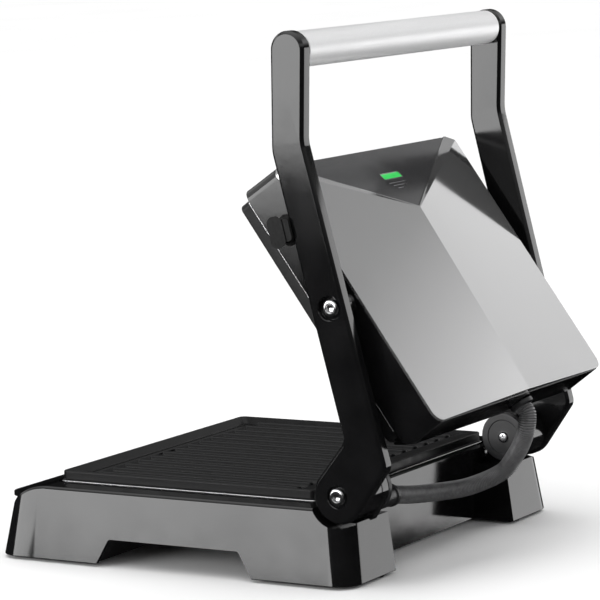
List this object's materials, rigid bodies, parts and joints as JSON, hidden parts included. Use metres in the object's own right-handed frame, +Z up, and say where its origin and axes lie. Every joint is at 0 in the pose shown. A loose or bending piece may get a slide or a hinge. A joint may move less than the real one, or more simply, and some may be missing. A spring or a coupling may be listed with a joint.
{
  "type": "panini press",
  "caption": "Contact grill with a low black base, a ribbed plate in it, and a silver faceted lid hung between two long arms that a round handle joins.",
  "frame": {"origin": "on the table, under the middle of the whole grill as it stands open", "axes": "+X along the hinge towards the arm with the lock slide, +Y to the back, +Z up"},
  "size_m": [0.317, 0.3886, 0.404],
  "materials": {
    "gloss_black": "moulded, high gloss",
    "satin_black": "moulded, fine grain",
    "nonstick_plate": "die cast with a black non-stick coating",
    "silver_paint": "smooth silver-grey, glossy",
    "panel_grey": "dark grey, glossy",
    "lens_green": "clear green window",
    "handle_aluminium": "satin anodised",
    "bolt_chrome": "polished",
    "bright_trim": "bright edge",
    "sheet_steel": "plain",
    "conduit_grey": "close-wound rings, dull",
    "rubber": "matt"
  },
  "bodies": {
    "base": {"base_housing": "gloss_black", "rear_leg_right": "gloss_black", "rear_leg_left": "gloss_black", "base_bottom_cover": "satin_black", "foot_front_right": "rubber", "foot_front_left": "rubber", "foot_rear_right": "rubber", "foot_rear_left": "rubber", "lower_grill_plate": "nonstick_plate", "lower_trim_frame": "bright_trim", "lower_seat_frame": "sheet_steel", "lower_heating_element": "sheet_steel", "lower_reflector": "sheet_steel", "thermostat": "satin_black"},
    "drip_tray": {"drip_tray": "gloss_black"},
    "arms": {"arm_right": "gloss_black", "arm_left": "gloss_black", "handle_tube": "handle_aluminium", "handle_plug_right": "satin_black", "handle_plug_left": "satin_black", "handle_tie_rod": "sheet_steel", "hinge_barrel_right": "gloss_black", "hinge_barrel_left": "gloss_black", "hinge_cap_right": "satin_black", "hinge_cap_left": "satin_black", "hinge_bolt_right": "bolt_chrome", "hinge_bolt_left": "bolt_chrome", "hinge_end_screw_right": "sheet_steel", "hinge_end_screw_left": "sheet_steel", "pivot_bolt_right": "bolt_chrome", "pivot_bolt_left": "bolt_chrome", "conduit_sleeve": "satin_black", "flex_conduit": "conduit_grey"},
    "lock": {"lock_slide": "satin_black"},
    "lid": {"lid_cover": "silver_paint", "indicator_panel": "panel_grey", "indicator_lens": "lens_green", "lid_housing": "gloss_black", "pivot_boss_right": "gloss_black", "pivot_boss_left": "gloss_black", "upper_grill_plate": "nonstick_plate", "upper_trim_frame": "bright_trim", "upper_heating_element": "sheet_steel", "upper_reflector": "sheet_steel", "conduit_gland": "satin_black"}
  },
  "joints": [
    {"name": "arm_hinge", "type": "hinge", "parent": "base", "child": "arms", "pos_m": [0, 0.1141, 0.0675], "axis": [1, 0, 0], "range_deg": [0, 76.48]},
    {"name": "lid_pivot", "type": "hinge", "parent": "arms", "child": "lid", "pos_m": [0, 0.1146, 0.2053], "axis": [1, 0, 0], "range_deg": [-21.7, 0], "deforming": ["flex_conduit"]},
    {"name": "lock_travel", "type": "slide", "parent": "arms", "child": "lock", "axis": [0, -0.9738, -0.2275], "range_m": [0, 0.005]},
    {"name": "tray_travel", "type": "slide", "parent": "base", "child": "drip_tray", "axis": [0, -1, 0], "range_m": [0, 0.075]}
  ],
  "couplings": [
    {"joint": "lid_pivot", "follows": "arm_hinge", "ratio": -0.28347}
  ]
}
